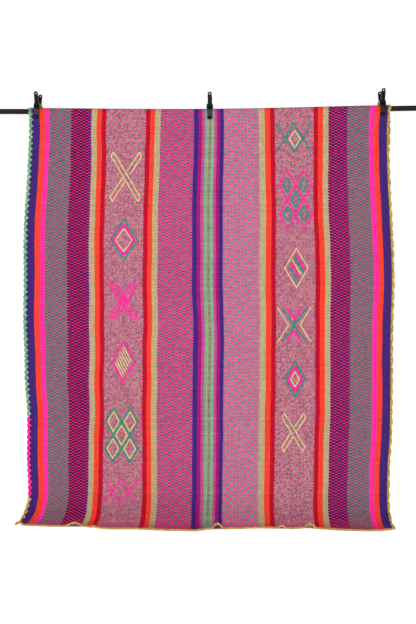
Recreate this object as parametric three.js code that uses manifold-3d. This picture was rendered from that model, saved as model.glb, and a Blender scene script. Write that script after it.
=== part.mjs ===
// Handwoven blanket folded over a hanging rod, held by three spring clamps, its foot lying on the floor.
// Millimetres. X runs along the rod to the right, -Y is the side that the good face looks to, +Z is up.
// The floor is at z = 0. Everything is laid out about the rod's axis and moved to the origin at the end.

import * as THREE from 'three';
import { mergeVertices } from 'three/addons/utils/BufferGeometryUtils.js';
import Module from 'manifold-3d';

// Driving dimensions
const GAP = 0.3;
const CLOTH_THICKNESS = 3;
const PANEL_LEFT = -760;
const SEAM = 3;
const PANEL_RIGHT = 757;
const ROD_RADIUS = 11;
const ROD_HALF_LENGTH = 1000;
const ROD_MID_HEIGHT = 1707;
const ROD_SAG = 11;
const CLOTH_ON_ROD = 0.8;
const BACK_DROP = 150;
const BEND_RADIUS = 40;
const CAP_LENGTH = 18;
const CAP_RADIUS = 12.5;

// Crochet edging: widths outward from the woven edge, and the pitch of the shells along it
const LEFT_SHELL = { pitch: 24, valley: 4.5, peak: 10, steps: 3 };
const RIGHT_SHELL = { pitch: 43, valley: 4.5, peak: 9.5, steps: 4 };
const HEM_BAND = { pitch: 36, valley: 9.5, peak: 12, steps: 2 };
const HEM_CURL = THREE.MathUtils.degToRad(70);
const REAR_BAND_WIDTH = 11;
const PINK_STARTS = 1296;
const GOLD_STARTS = 1633;

// How far the cloth drifts sideways from straight, by its length down from the rod's top
const DRIFT_AT = {
  leftEdge: -712,
  leftBand: -463,
  leftField: -232,
  seam: 3,
  rightField: 238,
  rightBand: 470,
  rightEdge: 710,
};
const DRIFT = [
  { down: 0, leftEdge: 20, leftBand: 11, leftField: 16, seam: 5,
    rightField: -6, rightBand: -8, rightEdge: -12 },
  { down: 90, leftEdge: 24, leftBand: 7, leftField: 12.5, seam: 6.5,
    rightField: -3, rightBand: -7.5, rightEdge: -19 },
  { down: 220, leftEdge: 19, leftBand: 8.5, leftField: 9.5, seam: 4,
    rightField: -1.5, rightBand: -8, rightEdge: -19 },
  { down: 340, leftEdge: 12.5, leftBand: 5.5, leftField: 5, seam: 0,
    rightField: 0, rightBand: -9, rightEdge: -15 },
  { down: 470, leftEdge: 3.5, leftBand: 1, leftField: 1.5, seam: -1,
    rightField: 2.5, rightBand: -7, rightEdge: -8 },
  { down: 590, leftEdge: 0, leftBand: -2.3, leftField: 1, seam: 0,
    rightField: 1.2, rightBand: -0.7, rightEdge: -2.3 },
  { down: 740, leftEdge: 1, leftBand: 0, leftField: -1.3, seam: -0.7,
    rightField: 0, rightBand: 0.8, rightEdge: 1.3 },
  { down: 900, leftEdge: -1, leftBand: 0, leftField: 1, seam: 5,
    rightField: 2.3, rightBand: -0.7, rightEdge: -3.4 },
  { down: 1020, leftEdge: 3.4, leftBand: 1.8, leftField: -2.6, seam: 5.5,
    rightField: 0, rightBand: -0.4, rightEdge: -5.3 },
  { down: 1150, leftEdge: 6, leftBand: -2.8, leftField: -1.9, seam: 2.5,
    rightField: 0.5, rightBand: 0.2, rightEdge: -5.4 },
  { down: 1270, leftEdge: 14, leftBand: 1.2, leftField: -4.5, seam: 1.7,
    rightField: -2.3, rightBand: -1, rightEdge: -6.4 },
  { down: 1390, leftEdge: 14.7, leftBand: -3.2, leftField: -3.4, seam: 1.8,
    rightField: -3.5, rightBand: -5.1, rightEdge: -9.1 },
  { down: 1480, leftEdge: 14, leftBand: -4.5, leftField: -3, seam: 0.5,
    rightField: -4.2, rightBand: -6.7, rightEdge: -16 },
  { down: 1560, leftEdge: 18, leftBand: -6, leftField: -2.5, seam: -0.3,
    rightField: -5.3, rightBand: -7.2, rightEdge: -18.2 },
  { down: 1630, leftEdge: 17.6, leftBand: -9.2, leftField: -3.2, seam: -1.5,
    rightField: -6.8, rightBand: -9.3, rightEdge: -18.4 },
];
const DRIFT_AT_BEND = {
  leftEdge: 4, leftBand: -14, leftField: -5, seam: -2.8,
  rightField: -5.3, rightBand: -8, rightEdge: -14.5,
};
const DRIFT_AT_FLOOR = {
  leftEdge: -22, leftBand: -25, leftField: -8.3, seam: -0.3,
  rightField: -3.3, rightBand: -4, rightEdge: -5,
};
const DRIFT_AT_HEM = {
  leftEdge: -26, leftBand: -24, leftField: -8.6, seam: 1,
  rightField: -3, rightBand: -5, rightEdge: -2.5,
};

// How far the woven hem lies in front of the rod's axis
const HEM_REACH = [
  { x: -770, reach: 60 },
  { x: -700, reach: 69 },
  { x: -620, reach: 80 },
  { x: -485, reach: 75 },
  { x: -390, reach: 113 },
  { x: -290, reach: 109 },
  { x: -160, reach: 126 },
  { x: -45, reach: 132 },
  { x: 5, reach: 101 },
  { x: 130, reach: 89 },
  { x: 212, reach: 74 },
  { x: 355, reach: 83 },
  { x: 399, reach: 65 },
  { x: 518, reach: 96 },
  { x: 632, reach: 108 },
  { x: 690, reach: 105 },
  { x: 735, reach: 88 },
  { x: 775, reach: 60 },
];

// Humps of the hem off the floor: each dies away over its own length back from the hem
const HUMPS = [
  { x: -752, halfWidth: 24, height: 10, length: 50 },
  { x: -518, halfWidth: 36, height: 13, length: 80 },
  { x: -437, halfWidth: 12, height: 5, length: 40 },
  { x: 41, halfWidth: 25, height: 20, length: 90 },
  { x: 305, halfWidth: 18, height: 8, length: 60 },
  { x: 421, halfWidth: 24, height: 18, length: 80 },
];

// Soft standing folds of the hung face: depth is towards the viewer, minus is away
const FOLDS = [
  { x: -690, halfWidth: 80, depth: -5, from: 200, to: 1500 },
  { x: -518, halfWidth: 60, depth: 6, from: 1150, to: 1700 },
  { x: -330, halfWidth: 110, depth: -4, from: 500, to: 1650 },
  { x: 29, halfWidth: 60, depth: 5, from: 1100, to: 1700 },
  { x: 215, halfWidth: 100, depth: -4, from: 700, to: 1650 },
  { x: 421, halfWidth: 60, depth: 6, from: 1150, to: 1700 },
  { x: 690, halfWidth: 80, depth: -5, from: 250, to: 1500 },
];

// Spring clamps: where each grips the rod and how far it is turned about the vertical
const CLAMPS = [
  { name: 'left', x: -711, turn: -7 },
  { name: 'centre', x: 8, turn: 0 },
  { name: 'right', x: 717, turn: 7 },
];
const CLAMP = {
  jawWidth: 21,
  collarWidth: 26,
  handleWidth: 17,
  jawDrop: 32,
  handleTop: 79,
  handleReach: 31,
  plate: 4,
  pinHeight: 22.5,
  pinRadius: 2.5,
  earRadius: 6,
  earThickness: 2.2,
  fingerHoleRadius: 2.8,
  springRadius: 5,
  corner: 4,
  waist: 12,
  jawTop: 8,
  neck: 10,
  shoulder: 22,
  collarFrom: 13,
  collarTo: 27,
  handleFrom: 33,
  jawTaper: 14,
  plateFoot: 1.5,
  earRoot: 15.2,
  earTop: 34,
  earToe: 11.5,
};

// Finishes
const material = (color, roughness, metalness = 0) => new THREE.MeshStandardMaterial({ color, roughness, metalness });
const WOOL_PANEL = material(0xa85f86, 0.95);
const WOOL_GREEN = material(0x6f9f86, 0.95);
const WOOL_PINK = material(0xe83a93, 0.95);
const WOOL_GOLD = material(0xc9a545, 0.95);
const BLACK_ENAMEL = material(0x1c1e20, 0.35, 0.6);
const BLACK_PLASTIC = material(0x191a1c, 0.45);
const STEEL_WIRE = material(0x8f9296, 0.3, 0.9);

const wasm = await Module();
wasm.setup();

const blanket = new THREE.Group();
function addPiece(name, geometry, finish) {
  const mesh = new THREE.Mesh(geometry, finish);
  mesh.name = name;
  blanket.add(mesh);
  return mesh;
}

// The rod's centre line sags a little between its ends
const rodHeight = (x) => ROD_MID_HEIGHT + (ROD_SAG * (1 - Math.cos((Math.PI * x) / ROD_HALF_LENGTH))) / 2;

// Value of a column of a table at a place, straight between rows
function tableValue(rows, key, at, column) {
  if (at <= rows[0][key]) return rows[0][column];
  for (let i = 1; i < rows.length; i += 1) {
    if (at <= rows[i][key]) {
      const share = (at - rows[i - 1][key]) / (rows[i][key] - rows[i - 1][key]);
      return THREE.MathUtils.lerp(rows[i - 1][column], rows[i][column], share);
    }
  }
  return rows[rows.length - 1][column];
}

// The cloth's way in five stages: -2 to -1 the back flap, -1 to 1 over the rod (0 on top), 1 to 2 the hung face,
// 2 to 3 the bend on to the floor, 3 to 4 the foot on the floor, with 4 at the woven hem.
const CLOTH_ARC = ROD_RADIUS + CLOTH_ON_ROD + CLOTH_THICKNESS / 2;
const FLOOR_LEVEL = CLOTH_THICKNESS / 2;
const OVER_ROD = (CLOTH_ARC * Math.PI) / 2;
const BEND_LENGTH = (BEND_RADIUS * Math.PI) / 2;
const BACK_HEM = -(BACK_DROP + OVER_ROD);

const hungLength = (x) => rodHeight(x) - BEND_RADIUS - FLOOR_LEVEL;
const footLength = (x) => tableValue(HEM_REACH, 'x', x, 'reach') - CLOTH_ARC - BEND_RADIUS;
const stageLengths = (x) => [BACK_DROP, OVER_ROD, OVER_ROD, hungLength(x), BEND_LENGTH, footLength(x)];

// Length down from the rod's top at a stage, and the other way round
function downAt(x, stage) {
  const lengths = stageLengths(x);
  if (stage < 0) return -(Math.min(-stage, 1) * lengths[1] + Math.max(-stage - 1, 0) * lengths[0]);
  let down = 0;
  for (let i = 0; i < 4; i += 1) {
    const limit = i === 3 ? Infinity : 1;
    down += Math.max(Math.min(stage - i, limit), 0) * lengths[i + 2];
  }
  return down;
}
function stageAt(x, down) {
  const lengths = stageLengths(x);
  if (down < -lengths[1]) return -1 + (down + lengths[1]) / lengths[0];
  if (down < 0) return down / lengths[1];
  let left = down;
  for (let i = 0; i < 3; i += 1) {
    if (left <= lengths[i + 2]) return i + left / lengths[i + 2];
    left -= lengths[i + 2];
  }
  return 3 + left / lengths[5];
}

// Sideways drift, read across the width between the places that the table names
function driftRow(down) {
  const row = {};
  for (const column of Object.keys(DRIFT_AT)) row[column] = tableValue(DRIFT, 'down', Math.max(down, 0), column);
  return row;
}
function mixRows(a, b, share) {
  const row = {};
  for (const column of Object.keys(DRIFT_AT)) row[column] = THREE.MathUtils.lerp(a[column], b[column], share);
  return row;
}
function drift(x, stage) {
  let row;
  const last = DRIFT[DRIFT.length - 1];
  const down = downAt(SEAM, stage);
  if (stage >= 3) row = mixRows(DRIFT_AT_FLOOR, DRIFT_AT_HEM, Math.min(stage - 3, 1));
  else if (stage >= 2) row = mixRows(DRIFT_AT_BEND, DRIFT_AT_FLOOR, stage - 2);
  else if (down > last.down) row = mixRows(last, DRIFT_AT_BEND, (down - last.down) / (downAt(SEAM, 2) - last.down));
  else row = driftRow(down);
  const places = Object.keys(DRIFT_AT).map((column) => ({ x: DRIFT_AT[column], value: row[column] }));
  return tableValue(places, 'x', x, 'value');
}

// A soft rounded rise: 1 in the middle, 0 at the half width and beyond
const softRise = (distance, halfWidth) =>
  Math.abs(distance) < halfWidth ? Math.cos((Math.PI * distance) / (2 * halfWidth)) ** 2 : 0;

function foldDepth(x, down) {
  let depth = 0;
  for (const fold of FOLDS) {
    const middle = (fold.from + fold.to) / 2;
    depth += fold.depth * softRise(x - fold.x, fold.halfWidth) * softRise(down - middle, (fold.to - fold.from) / 2);
  }
  return depth;
}
function humpLift(x, stage) {
  if (stage < 2) return 0;
  const back = downAt(x, 4) - downAt(x, Math.min(stage, 4));
  let lift = 0;
  for (const hump of HUMPS) {
    lift += hump.height * softRise(x - hump.x, hump.halfWidth) * Math.max(1 - back / hump.length, 0) ** 1.3;
  }
  return lift;
}

// Middle of the cloth's thickness and the direction its good face looks in
function clothAt(x, stage) {
  const point = new THREE.Vector3();
  const normal = new THREE.Vector3();
  if (stage <= -1) {
    point.set(x, CLOTH_ARC, rodHeight(x) - (-stage - 1) * BACK_DROP);
    normal.set(0, 1, 0);
  } else if (stage <= 1) {
    const angle = (stage * Math.PI) / 2;
    normal.set(0, -Math.sin(angle), Math.cos(angle));
    point.set(x, 0, rodHeight(x)).addScaledVector(normal, CLOTH_ARC);
  } else if (stage <= 2) {
    point.set(x, -CLOTH_ARC, rodHeight(x) - (stage - 1) * hungLength(x));
    normal.set(0, -1, 0);
  } else if (stage <= 3) {
    const angle = ((stage - 2) * Math.PI) / 2;
    normal.set(0, -Math.cos(angle), Math.sin(angle));
    point.set(x, -CLOTH_ARC - BEND_RADIUS, FLOOR_LEVEL + BEND_RADIUS).addScaledVector(normal, -BEND_RADIUS);
    point.z += humpLift(x, stage);
  } else {
    point.set(x, -CLOTH_ARC - BEND_RADIUS - (stage - 3) * footLength(x), FLOOR_LEVEL + humpLift(x, stage));
    normal.set(0, 0, 1);
  }
  if (stage > 1 && stage < 3) point.addScaledVector(normal, foldDepth(x, downAt(x, stage)));
  point.x += drift(x, stage);
  return { point, normal };
}

// A closed sheet of the cloth's thickness from a grid of places: rows run down the cloth, columns to the right
function sheet(rowCount, columnCount, place) {
  const positions = [];
  for (const side of [0.5, -0.5]) {
    for (let row = 0; row < rowCount; row += 1) {
      for (let column = 0; column < columnCount; column += 1) {
        const { point, normal } = place(row, column);
        point.addScaledVector(normal, side * CLOTH_THICKNESS);
        positions.push(point.x, point.y, point.z);
      }
    }
  }
  const front = (row, column) => row * columnCount + column;
  const back = (row, column) => rowCount * columnCount + front(row, column);
  const index = [];
  const quad = (a, b, c, d) => index.push(a, b, c, a, c, d);
  const lastRow = rowCount - 1;
  const lastColumn = columnCount - 1;
  for (let row = 0; row < lastRow; row += 1) {
    for (let column = 0; column < lastColumn; column += 1) {
      quad(front(row, column), front(row + 1, column), front(row + 1, column + 1), front(row, column + 1));
      quad(back(row, column), back(row, column + 1), back(row + 1, column + 1), back(row + 1, column));
    }
    quad(front(row, 0), back(row, 0), back(row + 1, 0), front(row + 1, 0));
    quad(front(row, lastColumn), front(row + 1, lastColumn), back(row + 1, lastColumn), back(row, lastColumn));
  }
  for (let column = 0; column < lastColumn; column += 1) {
    quad(front(0, column), front(0, column + 1), back(0, column + 1), back(0, column));
    quad(front(lastRow, column), back(lastRow, column), back(lastRow, column + 1), front(lastRow, column + 1));
  }
  const geometry = new THREE.BufferGeometry();
  geometry.setAttribute('position', new THREE.Float32BufferAttribute(positions, 3));
  geometry.setIndex(index);
  geometry.computeVertexNormals();
  return geometry;
}

// Sorted values with near doubles left out
function merged(values, nearest) {
  const sorted = [...values].sort((a, b) => a - b);
  return sorted.filter((value, i) => i === 0 || value - sorted[i - 1] > nearest);
}

// Woven panels: rows sit at the drift table's own lengths, columns at the hem table's rows and across each hump
function panelStages() {
  const x = SEAM;
  const stages = [-2, -1];
  for (let i = -2; i <= 3; i += 1) stages.push(i / 3);
  for (const row of DRIFT) if (row.down > OVER_ROD) stages.push(stageAt(x, row.down));
  for (let i = 0; i <= 4; i += 1) stages.push(2 + i / 4);
  for (let i = 1; i <= 3; i += 1) stages.push(3 + i / 3);
  return merged(stages, 0.001);
}
function columnsBetween(from, to) {
  const inside = [from, to];
  const margin = 1.5;
  const wanted = HEM_REACH.map((row) => row.x);
  for (const hump of HUMPS) {
    for (const share of [-1, -0.5, 0, 0.5, 1]) wanted.push(hump.x + share * hump.halfWidth);
  }
  for (const x of wanted) if (x > from + margin && x < to - margin) inside.push(x);
  return merged(inside, 0.5);
}
const STAGES = panelStages();
function panel(name, from, to) {
  const columns = columnsBetween(from, to);
  const geometry = sheet(STAGES.length, columns.length, (row, column) => clothAt(columns[column], STAGES[row]));
  addPiece(name, geometry, WOOL_PANEL);
}
panel('left_panel', PANEL_LEFT, SEAM - GAP / 2);
panel('right_panel', SEAM + GAP / 2, PANEL_RIGHT);

// Width of a scalloped band at a length along it; the shells are a little uneven
function shellWidth(shell, along) {
  const place = along / shell.pitch + 0.12 * Math.sin(along / (2.7 * shell.pitch));
  const share = place - Math.floor(place);
  const unevenness = 1 + 0.1 * Math.sin(1.9 * Math.floor(place));
  return shell.valley + (shell.peak - shell.valley) * unevenness * Math.sin(Math.PI * share) ** 0.8;
}

// Crochet edging down a side, between two lengths from the rod's top; outward is -1 on the left and 1 on the right
function sideEdging(name, edge, outward, shell, from, to, finish) {
  const inner = edge + outward * GAP;
  const stages = [stageAt(edge, from), stageAt(edge, to)];
  const step = shell.pitch / shell.steps;
  for (let down = from + step; down < to - step / 2; down += step) stages.push(stageAt(edge, down));
  for (const stage of STAGES) if (stage > stages[0] && stage < stages[1]) stages.push(stage);
  const rows = merged(stages, 0.0012);
  const geometry = sheet(rows.length, 2, (row, column) => {
    const isInner = (column === 0) === (outward > 0);
    const width = shellWidth(shell, downAt(edge, rows[row]) - BACK_HEM);
    return clothAt(isInner ? inner : inner + outward * width, rows[row]);
  });
  addPiece(name, geometry, finish);
}
const hemDown = (x) => downAt(x, 4);
sideEdging('left_green_edging', PANEL_LEFT, -1, LEFT_SHELL, BACK_HEM, PINK_STARTS - GAP, WOOL_GREEN);
sideEdging('left_pink_edging', PANEL_LEFT, -1, LEFT_SHELL, PINK_STARTS, GOLD_STARTS - GAP, WOOL_PINK);
sideEdging('left_gold_edging', PANEL_LEFT, -1, LEFT_SHELL, GOLD_STARTS, hemDown(PANEL_LEFT), WOOL_GOLD);
sideEdging('right_gold_edging', PANEL_RIGHT, 1, RIGHT_SHELL, BACK_HEM, hemDown(PANEL_RIGHT), WOOL_GOLD);

// Crochet band along the front hem, from corner to corner, which curls up as it runs out from the web,
// and the plain one along the hidden back hem
function hemBand() {
  const from = PANEL_LEFT - GAP - LEFT_SHELL.valley;
  const to = PANEL_RIGHT + GAP + RIGHT_SHELL.valley;
  const wanted = [from, ...columnsBetween(PANEL_LEFT, SEAM), ...columnsBetween(SEAM, PANEL_RIGHT), to];
  const step = HEM_BAND.pitch / HEM_BAND.steps;
  for (let x = from + step; x < to - step; x += step) {
    if (wanted.every((other) => Math.abs(other - x) > 1.5)) wanted.push(x);
  }
  const columns = merged(wanted, GAP);
  const rows = 4;
  const geometry = sheet(rows, columns.length, (row, column) => {
    const x = columns[column];
    const radius = shellWidth(HEM_BAND, x - from) / HEM_CURL;
    const angle = (HEM_CURL * row) / (rows - 1);
    const place = clothAt(x, 4);
    place.point.y -= GAP + radius * Math.sin(angle);
    place.point.z += radius * (1 - Math.cos(angle));
    place.normal.set(0, Math.sin(angle), Math.cos(angle));
    return place;
  });
  addPiece('hem_gold_edging', geometry, WOOL_GOLD);
}
function rearBand() {
  const columns = columnsBetween(PANEL_LEFT, PANEL_RIGHT);
  const geometry = sheet(2, columns.length, (row, column) => {
    const place = clothAt(columns[column], -2);
    place.point.z -= GAP + (row === 0 ? REAR_BAND_WIDTH : 0);
    return place;
  });
  addPiece('rear_gold_edging', geometry, WOOL_GOLD);
}
hemBand();
rearBand();

// Rod and its end caps
function rod() {
  const ends = ROD_HALF_LENGTH - CAP_LENGTH - GAP;
  const steps = 16;
  const points = [];
  for (let i = 0; i <= steps; i += 1) {
    const x = THREE.MathUtils.lerp(-ends, ends, i / steps);
    points.push(new THREE.Vector3(x, 0, rodHeight(x)));
  }
  const route = new THREE.CatmullRomCurve3(points);
  const section = new THREE.Shape();
  section.absarc(0, 0, ROD_RADIUS, 0, 2 * Math.PI, false);
  const options = { steps, curveSegments: 8, extrudePath: route, bevelEnabled: false };
  addPiece('rod', new THREE.ExtrudeGeometry(section, options), BLACK_ENAMEL);
}
function rodCap(name, side) {
  const rim = 2;
  const profile = [
    new THREE.Vector2(0, 0),
    new THREE.Vector2(CAP_RADIUS, 0),
    new THREE.Vector2(CAP_RADIUS, CAP_LENGTH - rim),
    new THREE.Vector2(CAP_RADIUS - rim, CAP_LENGTH),
    new THREE.Vector2(0, CAP_LENGTH),
  ];
  const mesh = addPiece(name, new THREE.LatheGeometry(profile, 20), BLACK_PLASTIC);
  mesh.rotation.z = (-side * Math.PI) / 2;
  mesh.position.set(side * (ROD_HALF_LENGTH - CAP_LENGTH), 0, rodHeight(ROD_HALF_LENGTH));
}
rod();
rodCap('rod_cap_left', -1);
rodCap('rod_cap_right', 1);

// Meshes to solids for cutting, and back
function solidOf(geometry) {
  const bare = geometry.clone();
  bare.deleteAttribute('normal');
  bare.deleteAttribute('uv');
  const welded = mergeVertices(bare);
  const vertProperties = new Float32Array(welded.attributes.position.array);
  const triVerts = new Uint32Array(welded.index.array);
  return new wasm.Manifold(new wasm.Mesh({ numProp: 3, vertProperties, triVerts }));
}
function geometryOf(solid) {
  const cut = solid.getMesh();
  const geometry = new THREE.BufferGeometry();
  geometry.setAttribute('position', new THREE.BufferAttribute(new Float32Array(cut.vertProperties), 3));
  geometry.setIndex(new THREE.BufferAttribute(new Uint32Array(cut.triVerts), 1));
  geometry.computeVertexNormals();
  return geometry;
}

// A clamp lever is drawn in its side view, height up and outward to the right, and spread along the rod
function sideSolid(shape, width, middle) {
  const geometry = new THREE.ExtrudeGeometry(shape, { depth: width, bevelEnabled: false, curveSegments: 4 });
  geometry.translate(0, 0, -width / 2);
  const axes = new THREE.Matrix4().makeBasis(
    new THREE.Vector3(0, -1, 0),
    new THREE.Vector3(0, 0, 1),
    new THREE.Vector3(-1, 0, 0),
  );
  geometry.applyMatrix4(axes);
  geometry.translate(middle, 0, 0);
  return solidOf(geometry);
}
// and in its front view, which narrows to the handle and ends round
function frontSolid(shape, depth) {
  const geometry = new THREE.ExtrudeGeometry(shape, { depth, bevelEnabled: false, curveSegments: 4 });
  geometry.translate(0, 0, -depth / 2);
  geometry.rotateX(Math.PI / 2);
  return solidOf(geometry);
}

function leverSide(jawFace) {
  const { plate, jawDrop, handleTop, handleReach, waist, neck, shoulder, jawTop, jawTaper, plateFoot } = CLAMP;
  const outer = jawFace + plate + plateFoot;
  const bevel = 2;
  const side = new THREE.Shape();
  side.moveTo(jawFace, -jawDrop);
  side.lineTo(jawFace, neck);
  side.lineTo(waist, shoulder);
  side.lineTo(handleReach - plate, handleTop);
  side.lineTo(handleReach, handleTop - bevel / 2);
  side.lineTo(waist + plate + bevel / 2, shoulder + bevel);
  side.lineTo(outer, jawTop);
  side.lineTo(outer, -jawDrop + jawTaper);
  side.lineTo(jawFace + bevel, -jawDrop);
  side.closePath();
  return side;
}
function leverFront() {
  const { jawWidth, collarWidth, handleWidth, jawDrop, handleTop, corner } = CLAMP;
  const { jawTop, collarFrom, collarTo, handleFrom } = CLAMP;
  const front = new THREE.Shape();
  front.moveTo(-jawWidth / 2, -jawDrop + corner);
  front.lineTo(-jawWidth / 2 + corner, -jawDrop);
  front.lineTo(jawWidth / 2 - corner, -jawDrop);
  front.lineTo(jawWidth / 2, -jawDrop + corner);
  front.lineTo(jawWidth / 2, jawTop);
  front.lineTo(collarWidth / 2, collarFrom);
  front.lineTo(collarWidth / 2, collarTo);
  front.lineTo(handleWidth / 2, handleFrom);
  front.lineTo(handleWidth / 2, handleTop - handleWidth / 2);
  front.absarc(0, handleTop - handleWidth / 2, handleWidth / 2, 0, Math.PI, false);
  front.lineTo(-handleWidth / 2, handleFrom);
  front.lineTo(-collarWidth / 2, collarTo);
  front.lineTo(-collarWidth / 2, collarFrom);
  front.lineTo(-jawWidth / 2, jawTop);
  front.closePath();
  return front;
}
// An ear reaches from the plate to the pin and clears the cloth over the rod
function earSide() {
  const { pinHeight, earRadius, earRoot, earTop, earToe } = CLAMP;
  const tip = { x: 4, drop: 0.6 };
  const foot = { root: 11, toe: 12.5 };
  const ear = new THREE.Shape();
  ear.moveTo(earRoot, foot.root);
  ear.lineTo(earRoot, earTop);
  ear.lineTo(tip.x, pinHeight + earRadius - tip.drop);
  ear.absarc(0, pinHeight, earRadius, Math.PI / 3, (5 * Math.PI) / 3, false);
  ear.lineTo(earToe, foot.toe);
  ear.closePath();
  return ear;
}
function roundBar(radius, length, sides) {
  const geometry = new THREE.CylinderGeometry(radius, radius, length, sides);
  geometry.rotateZ(Math.PI / 2);
  return geometry;
}
function lever(jawFace, earMiddle) {
  const { collarWidth, earThickness, pinHeight, pinRadius, handleTop, handleWidth, fingerHoleRadius } = CLAMP;
  const deepEnough = 120;
  let solid = sideSolid(leverSide(jawFace), collarWidth, 0).intersect(frontSolid(leverFront(), deepEnough));
  for (const side of [-1, 1]) solid = solid.add(sideSolid(earSide(), earThickness, side * earMiddle));
  const pinHole = roundBar(pinRadius + GAP, 2 * collarWidth, 12).translate(0, 0, pinHeight);
  const fingerHole = new THREE.CylinderGeometry(fingerHoleRadius, fingerHoleRadius, deepEnough / 2, 10);
  fingerHole.translate(0, -CLAMP.handleReach, handleTop - handleWidth / 2);
  return solid.subtract(solidOf(pinHole)).subtract(solidOf(fingerHole));
}
function springSleeve(length) {
  const { springRadius, pinRadius } = CLAMP;
  const inner = pinRadius + GAP;
  const half = length / 2;
  const profile = [];
  profile.push(new THREE.Vector2(inner, -half), new THREE.Vector2(springRadius, -half));
  profile.push(new THREE.Vector2(springRadius, half), new THREE.Vector2(inner, half), new THREE.Vector2(inner, -half));
  return new THREE.LatheGeometry(profile, 12).rotateZ(Math.PI / 2);
}
function clamp({ name, x, turn }) {
  const { jawWidth, collarWidth, earThickness, pinHeight, pinRadius } = CLAMP;
  const angle = THREE.MathUtils.degToRad(turn);
  const clothFace = CLOTH_ARC + CLOTH_THICKNESS / 2 + GAP;
  const jawFace = clothFace / Math.cos(angle) + (jawWidth / 2) * Math.tan(Math.abs(angle));
  const outerEar = collarWidth / 2 - earThickness / 2;
  const innerEar = outerEar - earThickness - GAP;
  const frontLever = geometryOf(lever(jawFace, outerEar));
  const backLever = geometryOf(lever(jawFace, innerEar)).rotateZ(Math.PI);
  const pin = roundBar(pinRadius, collarWidth + 2, 12).translate(0, 0, pinHeight);
  const spring = springSleeve(2 * (innerEar - earThickness / 2 - GAP)).translate(0, 0, pinHeight);
  const pieces = [
    ['front', frontLever, BLACK_PLASTIC],
    ['back', backLever, BLACK_PLASTIC],
    ['pin', pin, STEEL_WIRE],
    ['spring', spring, STEEL_WIRE],
  ];
  for (const [role, geometry, finish] of pieces) {
    const mesh = addPiece(`clamp_${name}_${role}`, geometry, finish);
    mesh.rotation.z = angle;
    mesh.position.set(x, 0, rodHeight(x));
  }
}
for (const place of CLAMPS) clamp(place);

// The origin is under the middle of everything, on the floor
blanket.updateMatrixWorld(true);
const box = new THREE.Box3().setFromObject(blanket, true);
blanket.position.y = -(box.min.y + box.max.y) / 2;
blanket.updateMatrixWorld(true);

export default blanket;
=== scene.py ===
# Handwoven wool blanket of two striped webs, folded over a hanging rod under three spring clamps,
# with its foot lying on the floor. Metres; the good face looks along -Y.
import math
import bpy
import numpy as np
from mathutils import Matrix, Vector


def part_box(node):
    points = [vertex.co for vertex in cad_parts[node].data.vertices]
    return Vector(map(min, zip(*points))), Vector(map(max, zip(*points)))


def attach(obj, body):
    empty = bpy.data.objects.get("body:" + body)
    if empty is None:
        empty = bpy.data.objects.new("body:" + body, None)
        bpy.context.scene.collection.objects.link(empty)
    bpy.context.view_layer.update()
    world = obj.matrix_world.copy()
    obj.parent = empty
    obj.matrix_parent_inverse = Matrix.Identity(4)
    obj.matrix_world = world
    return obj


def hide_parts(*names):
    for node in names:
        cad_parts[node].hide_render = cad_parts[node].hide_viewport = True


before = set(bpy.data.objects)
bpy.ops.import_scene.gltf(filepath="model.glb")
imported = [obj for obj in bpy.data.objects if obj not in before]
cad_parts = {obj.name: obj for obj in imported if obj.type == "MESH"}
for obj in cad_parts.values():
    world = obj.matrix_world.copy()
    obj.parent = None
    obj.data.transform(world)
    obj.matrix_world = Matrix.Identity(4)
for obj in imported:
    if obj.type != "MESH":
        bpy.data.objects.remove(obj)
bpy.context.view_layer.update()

# The lay of the cloth
# The two webs are one limp sheet of 3 mm warp-faced wool, folded over the rod. It hangs, bends on to the
# floor and ends at a hem with a few humps. Every woven, sewn and crocheted piece is laid on this surface.
PANEL_LEFT, SEAM, PANEL_RIGHT = -0.760, 0.003, 0.757
CLOTH = 0.003
ROD_RADIUS, ROD_MID_HEIGHT, ROD_SAG, ROD_HALF = 0.011, 1.707, 0.011, 1.0
ROD_Y = (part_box("rod")[0][1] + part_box("rod")[1][1]) / 2
OFF_ROD = 0.0008
CLOTH_ARC = ROD_RADIUS + OFF_ROD + CLOTH / 2
BACK_DROP, BEND_RADIUS, FLOOR_LEVEL = 0.15, 0.04, CLOTH / 2
OVER_ROD, BEND_LENGTH = CLOTH_ARC * math.pi / 2, BEND_RADIUS * math.pi / 2

# Sideways drift in mm at seven places across, by the length in mm down from the rod's top
DRIFT_AT = np.array([-712, -463, -232, 3, 238, 470, 710]) / 1000
DRIFT = [
    (0, 20, 11, 16, 5, -6, -8, -12),
    (90, 24, 7, 12.5, 6.5, -3, -7.5, -19),
    (220, 19, 8.5, 9.5, 4, -1.5, -8, -19),
    (340, 12.5, 5.5, 5, 0, 0, -9, -15),
    (470, 3.5, 1, 1.5, -1, 2.5, -7, -8),
    (590, 0, -2.3, 1, 0, 1.2, -0.7, -2.3),
    (740, 1, 0, -1.3, -0.7, 0, 0.8, 1.3),
    (900, -1, 0, 1, 5, 2.3, -0.7, -3.4),
    (1020, 3.4, 1.8, -2.6, 5.5, 0, -0.4, -5.3),
    (1150, 6, -2.8, -1.9, 2.5, 0.5, 0.2, -5.4),
    (1270, 14, 1.2, -4.5, 1.7, -2.3, -1, -6.4),
    (1390, 14.7, -3.2, -3.4, 1.8, -3.5, -5.1, -9.1),
    (1480, 14, -4.5, -3, 0.5, -4.2, -6.7, -16),
    (1560, 18, -6, -2.5, -0.3, -5.3, -7.2, -18.2),
    (1630, 17.6, -9.2, -3.2, -1.5, -6.8, -9.3, -18.4),
    (1686, 4, -14, -5, -2.8, -5.3, -8, -14.5),
    (1749, -22, -25, -8.3, -0.3, -3.3, -4, -5),
    (1797, -26, -24, -8.6, 1, -3, -5, -2.5),
]
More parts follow.
